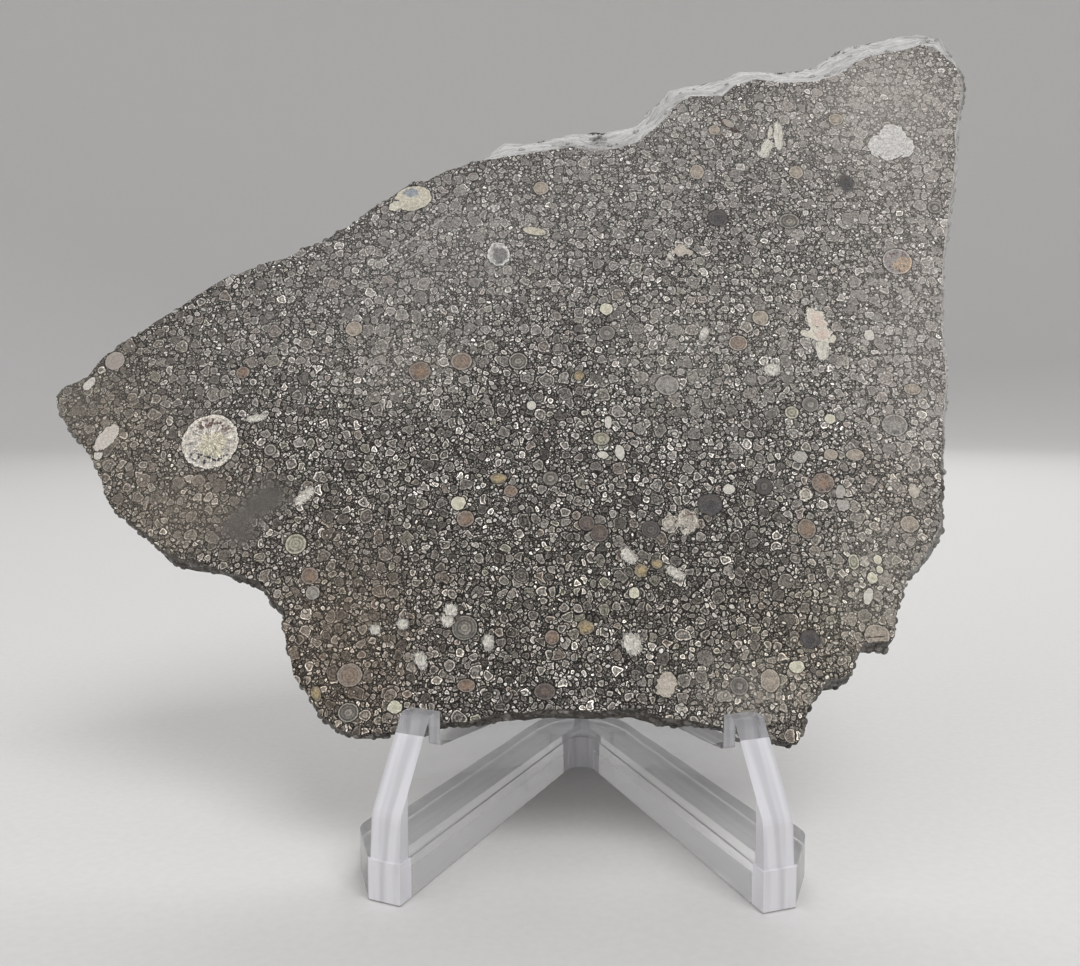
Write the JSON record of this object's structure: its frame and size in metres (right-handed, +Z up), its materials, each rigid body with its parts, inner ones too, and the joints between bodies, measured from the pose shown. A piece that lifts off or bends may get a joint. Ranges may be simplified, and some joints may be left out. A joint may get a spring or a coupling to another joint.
{
  "type": "chondrite meteorite slice on a display easel",
  "caption": "Flat sawn slice of chondrite meteorite with a natural irregular edge, leaning back in a small clear one-piece V-shaped display easel.",
  "frame": {"origin": "middle of the bounding box's underside, on the surface that the easel stands on", "axes": "+Z up; +X to the right along the slice's width, seen from its front; +Y away from the viewer, the way the slice leans"},
  "size_m": [0.13, 0.0624, 0.1123],
  "materials": {
    "stone": "fine-sawn, satin",
    "clear_plastic": "polished clear acrylic"
  },
  "bodies": {
    "root": {"meteorite_slab": "stone", "easel": "clear_plastic"}
  },
  "joints": []
}
